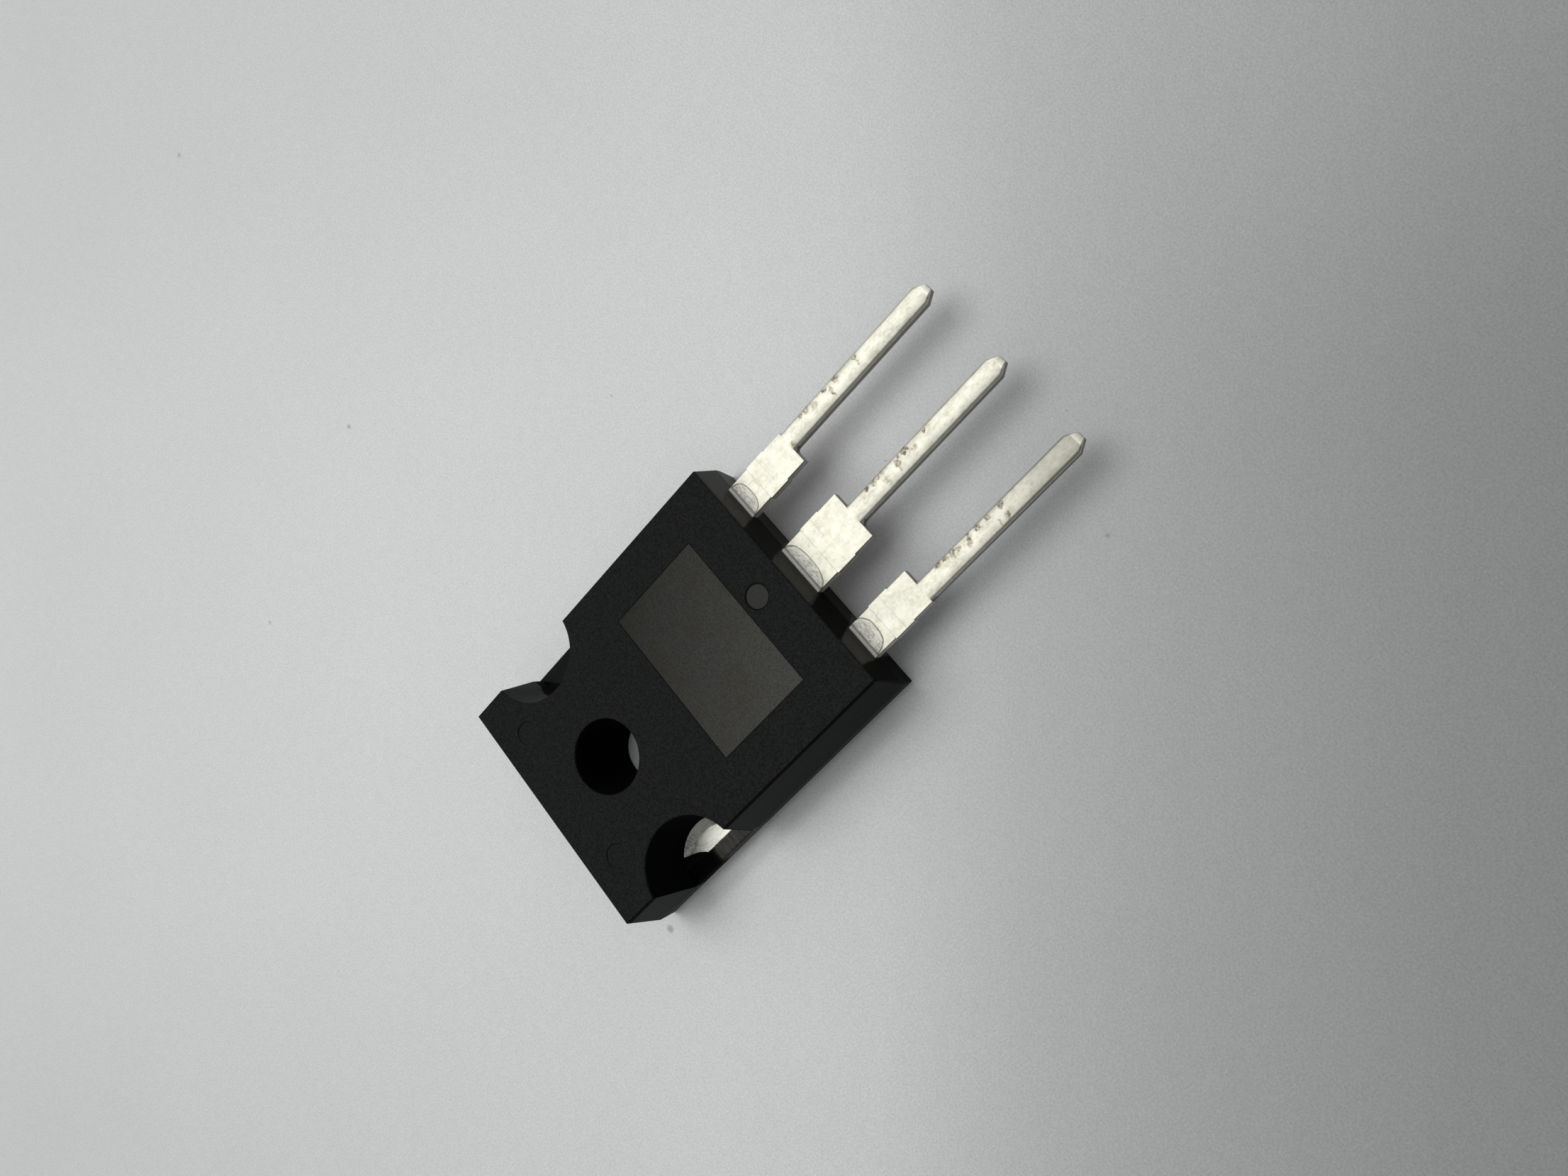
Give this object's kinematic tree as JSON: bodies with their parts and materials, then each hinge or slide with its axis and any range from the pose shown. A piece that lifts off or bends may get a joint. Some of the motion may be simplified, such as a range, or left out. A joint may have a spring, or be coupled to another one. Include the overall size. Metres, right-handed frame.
{
  "type": "rectifier diode",
  "caption": "Through-hole power rectifier: flat moulded package with a screw hole, side notches, a metal cooling face and straight flat leads.",
  "frame": {"origin": "axis of the mounting hole where it meets the metal cooling face", "axes": "+Z out of the marked face along the hole, -Y along the leads towards their tips, +X across the package"},
  "size_m": [0.0156, 0.0347, 0.0049],
  "materials": {
    "epoxy_moulding": "fine matte mould texture, near black",
    "tinned_copper": "matte tin plating over copper, warm white",
    "tinned_lead_left": "matte tin plating over copper, warm white, stained at its long edge",
    "tinned_lead_right": "matte tin plating over copper, warm white, stained at its long edge",
    "silicon": "polished dark grey silicon",
    "die_solder": "dull grey solder",
    "bond_aluminium": "smooth drawn aluminium wire"
  },
  "bodies": {
    "root": {"moulded_body": "epoxy_moulding", "tab_with_centre_lead": "tinned_copper", "outer_lead_1": "tinned_lead_left", "outer_lead_3": "tinned_lead_right", "solder_layer_1": "die_solder", "solder_layer_2": "die_solder", "diode_die_1": "silicon", "diode_die_2": "silicon", "bond_wire_1a": "bond_aluminium", "bond_wire_1b": "bond_aluminium", "bond_wire_2a": "bond_aluminium", "bond_wire_2b": "bond_aluminium"}
  },
  "joints": []
}
